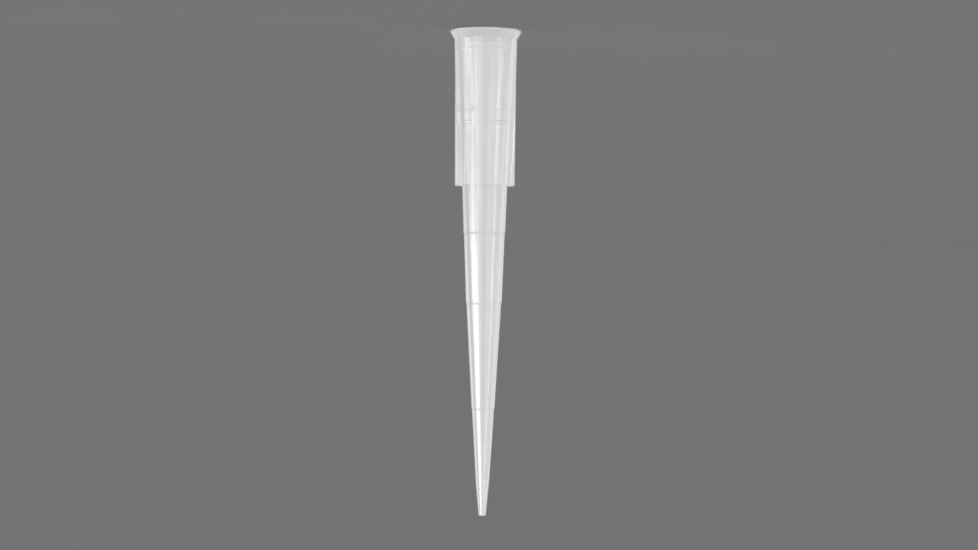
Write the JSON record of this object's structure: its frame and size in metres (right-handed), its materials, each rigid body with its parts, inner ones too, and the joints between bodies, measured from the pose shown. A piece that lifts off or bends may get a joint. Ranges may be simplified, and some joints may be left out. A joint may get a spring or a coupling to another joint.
{
  "type": "pipette tip",
  "caption": "Hollow tapering pipette tip in one piece, with a flared rim, a plain collar with a square shoulder, and a stem with fine fill rings.",
  "frame": {"origin": "centre of the rim's flat end face, which the tip stands on", "axes": "+Z along the tip's axis, from the mouth to the orifice; X and Y are any pair square to it, because the tip is round"},
  "size_m": [0.0074, 0.0074, 0.05],
  "materials": {
    "polypropylene": "satin"
  },
  "bodies": {
    "root": {"pipette_tip": "polypropylene"}
  },
  "joints": []
}
